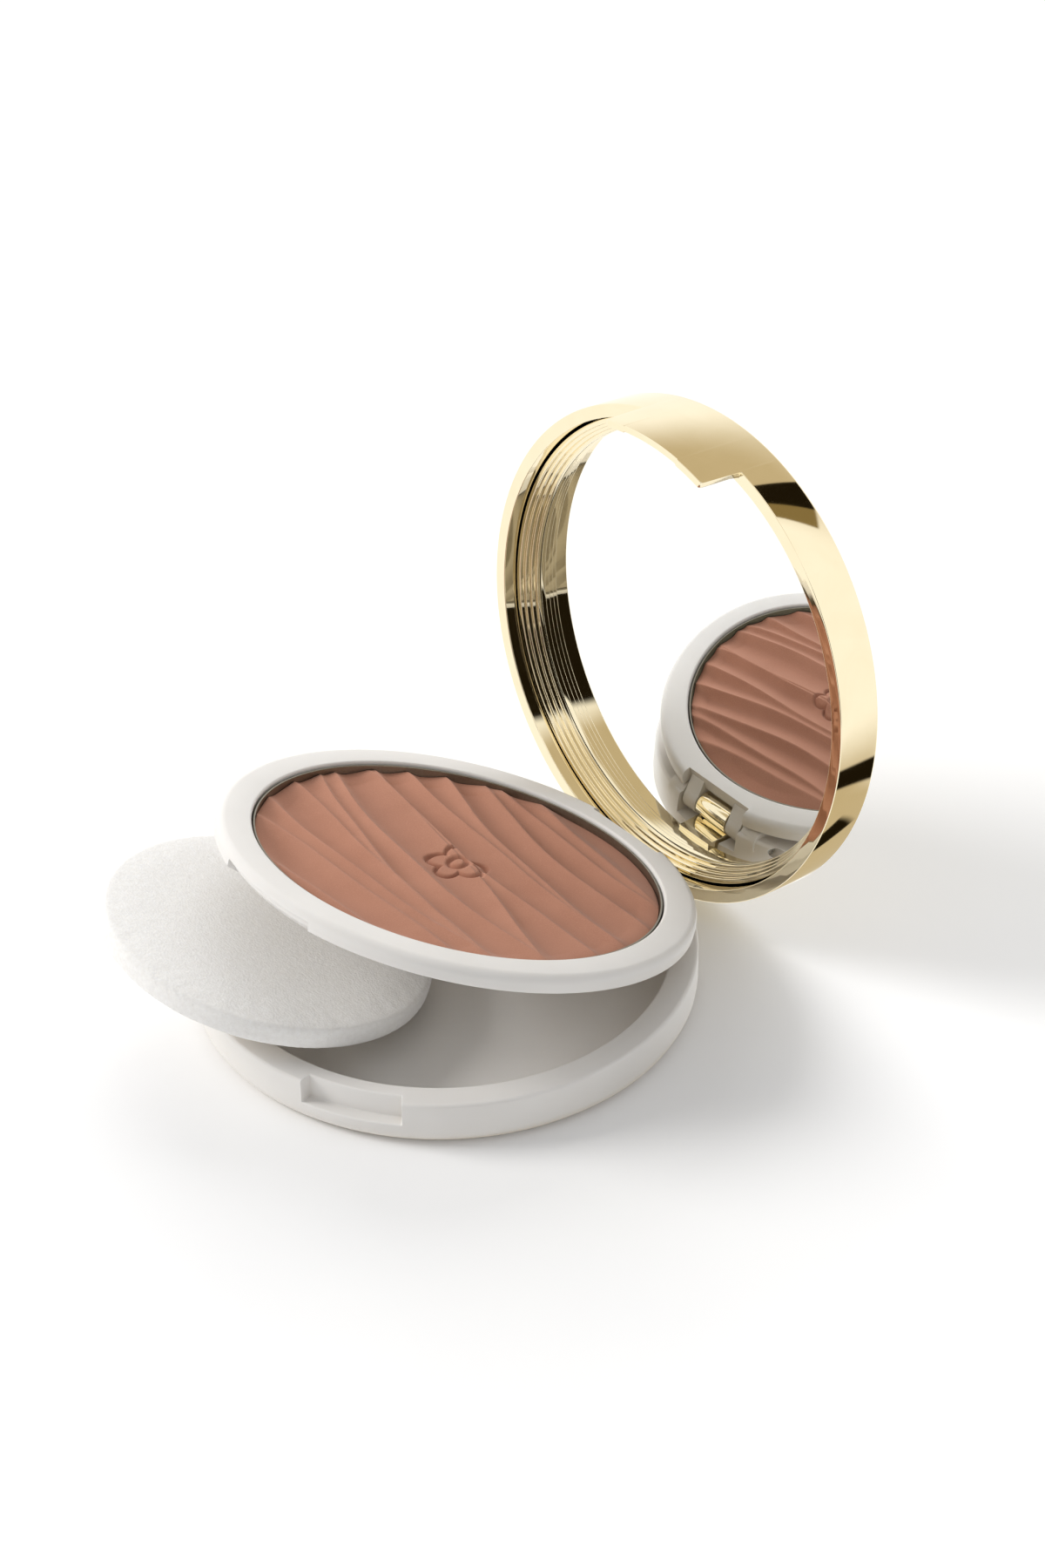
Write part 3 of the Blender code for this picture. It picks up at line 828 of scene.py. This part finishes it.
def build_world():
    """One even sky for diffuse light; reflections see the brighter studio and its cards instead."""
    world = bpy.data.worlds.new("studio")
    bpy.context.scene.world = world
    world.use_nodes = True
    nodes, links = world.node_tree.nodes, world.node_tree.links
    background = nodes["Background"]

    def value(operation, *inputs):
        node = nodes.new("ShaderNodeMath")
        node.operation = operation
        for socket, item in zip(node.inputs, inputs):
            if isinstance(item, bpy.types.NodeSocket):
                links.new(item, socket)
            else:
                socket.default_value = item
        return node.outputs[0]

    split = nodes.new("ShaderNodeSeparateXYZ")
    links.new(nodes.new("ShaderNodeTexCoord").outputs["Generated"], split.inputs[0])
    azimuth = value('MULTIPLY', value('ARCTAN2', split.outputs["X"], split.outputs["Y"]), 180 / math.pi)
    elevation = value('MULTIPLY', value('ARCSINE', split.outputs["Z"]), 180 / math.pi)

    def inside(angle, centre, half, soft):
        """1 within half degrees of centre, round the full turn."""
        offset = value('ABSOLUTE', value('SUBTRACT', angle, centre))
        offset = value('MINIMUM', offset, value('SUBTRACT', 360.0, offset))
        node = nodes.new("ShaderNodeMapRange")
        node.interpolation_type = 'SMOOTHSTEP'
        links.new(offset, node.inputs["Value"])
        node.inputs["From Min"].default_value = half - soft
        node.inputs["From Max"].default_value = half + soft
        node.inputs["To Min"].default_value = 1.0
        node.inputs["To Max"].default_value = 0.0
        return node.outputs["Result"]

    def mix(factor, first, second):
        node = nodes.new("ShaderNodeMix")
        node.data_type = 'RGBA'
        for socket, item in ((node.inputs[0], factor), (node.inputs[6], first), (node.inputs[7], second)):
            if isinstance(item, bpy.types.NodeSocket):
                links.new(item, socket)
            else:
                socket.default_value = (*item, 1.0)
        return node.outputs[2]

    seen = OPEN_STUDIO
    for az, el, half_az, half_el, soft, colour in CARDS:
        card = value('MULTIPLY', inside(azimuth, az, half_az, soft), inside(elevation, el, half_el, soft))
        seen = mix(card, seen, colour)
    path = nodes.new("ShaderNodeLightPath")
    links.new(mix(path.outputs["Is Glossy Ray"], SKY_COLOUR, seen), background.inputs["Color"])


def build_lights():
    """Broad, distant soft boxes: one models the folds, the other lifts the side towards the mirror."""
    for number, (place, size, strength, colour) in enumerate(SOFT_BOXES):
        data = bpy.data.lights.new(f"soft_box_{number}", 'SUN')
        data.energy = strength
        data.angle = math.radians(size)
        data.color = colour
        light = bpy.data.objects.new(data.name, data)
        bpy.context.scene.collection.objects.link(light)
        light.rotation_euler = (-Vector(place)).to_track_quat('-Z', 'Y').to_euler()
        light.visible_glossy = False


def build_floor():
    half = FLOOR_HALF
    mesh = bpy.data.meshes.new("floor")
    corners = [(-half, -half, 0), (half, -half, 0), (half, half, 0), (-half, half, 0)]
    mesh.from_pydata(corners, [], [(0, 1, 2, 3)])
    floor = bpy.data.objects.new("floor", mesh)
    bpy.context.scene.collection.objects.link(floor)
    s = Shader("pale_table")
    tone = s.noise(40.0, 2.0)
    s.set(Base_Color=s.blend(s.spread(tone, 0.0, 1.0), (0.93, 0.93, 0.935), (0.95, 0.95, 0.95)))
    s.set(Roughness=0.9)
    mesh.materials.append(s.mat)
    floor.visible_glossy = False


bpy.context.scene.view_settings.view_transform = 'Standard'
PLASTIC = white_plastic()
GOLD = gold_plating()
build_base(PLASTIC, drawn_steel())
build_tray(PLASTIC)
build_pan(pressed_tin())
build_powder(pressed_powder())
build_lid(GOLD)
build_mirror(GOLD, silvered_mirror())
build_sponge(latex_foam())
for node, coat in (("pan_adhesive", hot_melt()), ("mirror_tape", foam_tape())):
    frame["nodes"][node].data.materials.clear()
    frame["nodes"][node].data.materials.append(coat)
build_floor()
build_lights()
build_world()
build_camera()
